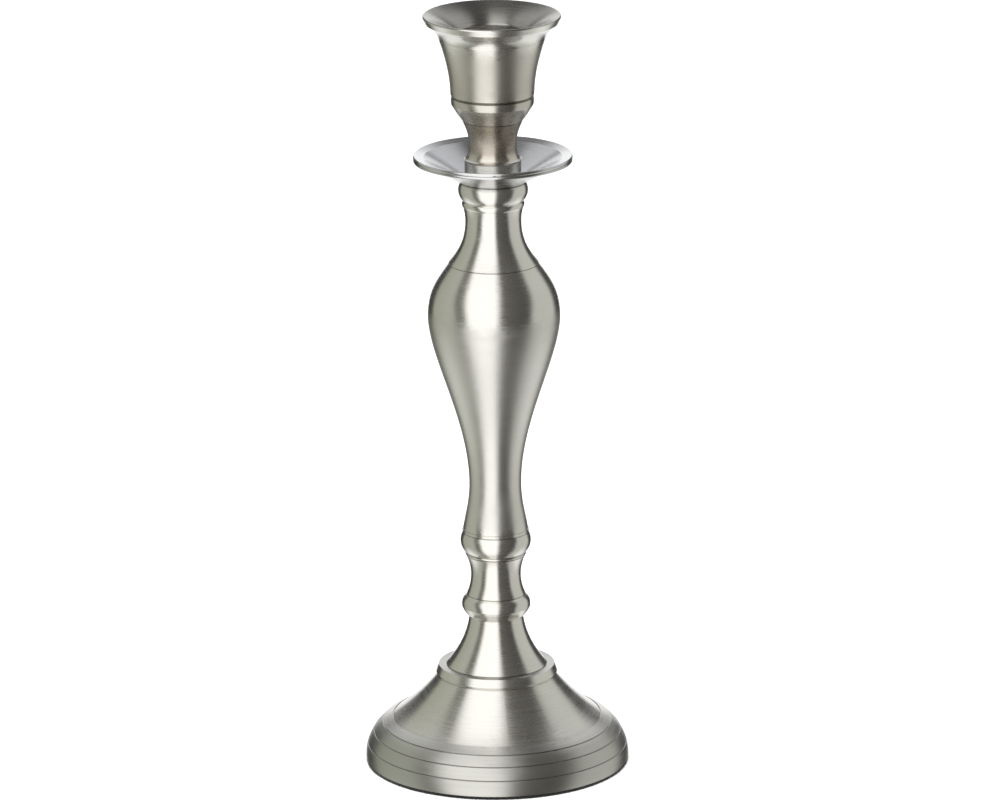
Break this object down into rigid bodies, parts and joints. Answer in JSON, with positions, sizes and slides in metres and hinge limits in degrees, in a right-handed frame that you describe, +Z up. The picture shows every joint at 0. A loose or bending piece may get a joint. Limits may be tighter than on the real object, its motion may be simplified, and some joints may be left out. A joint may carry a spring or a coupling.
{
  "type": "candlestick",
  "caption": "Turned silver-coloured candlestick: flared candle cup over a drip pan, vase-shaped stem with knops and a stepped round foot on a felt pad.",
  "frame": {"origin": "on the candlestick's axis at the underside of the felt pad", "axes": "+Z up along the axis of the stem, towards the candle; the object is round, so X and Y are free"},
  "size_m": [0.086, 0.086, 0.25],
  "materials": {
    "nickel_plate": "satin nickel plate over turned cast aluminium",
    "zinc_steel": "bright zinc plated steel",
    "spring_steel": "dark phosphated spring steel",
    "felt": "black pressed wool felt"
  },
  "bodies": {
    "stand": {"felt_pad": "felt", "base_foot": "nickel_plate", "stem_flare": "nickel_plate", "ring_knop": "nickel_plate", "stem_spool": "nickel_plate", "bead_knop": "nickel_plate", "vase_body": "nickel_plate", "shoulder_neck": "nickel_plate", "tie_rod": "zinc_steel", "base_washer": "zinc_steel", "lock_washer": "spring_steel", "base_nut": "zinc_steel", "stem_washer": "zinc_steel", "stem_nut": "zinc_steel"},
    "pan": {"drip_pan": "nickel_plate"},
    "neck": {"socket_neck": "nickel_plate"},
    "cup": {"candle_cup": "nickel_plate"}
  },
  "joints": [
    {"name": "pan_lift", "type": "slide", "parent": "stand", "child": "pan", "axis": [0, 0, 1], "range_m": [0, 0.035]},
    {"name": "neck_rise", "type": "slide", "parent": "pan", "child": "neck", "axis": [0, 0, 1], "range_m": [0, 0.0112]},
    {"name": "cup_unscrew", "type": "hinge", "parent": "neck", "child": "cup", "pos_m": [0, 0, 0.2157], "axis": [0, 0, 1], "range_deg": [0, 3960]}
  ],
  "couplings": [
    {"joint": "neck_rise", "follows": "cup_unscrew", "m_per_rad": 0.00015915}
  ]
}
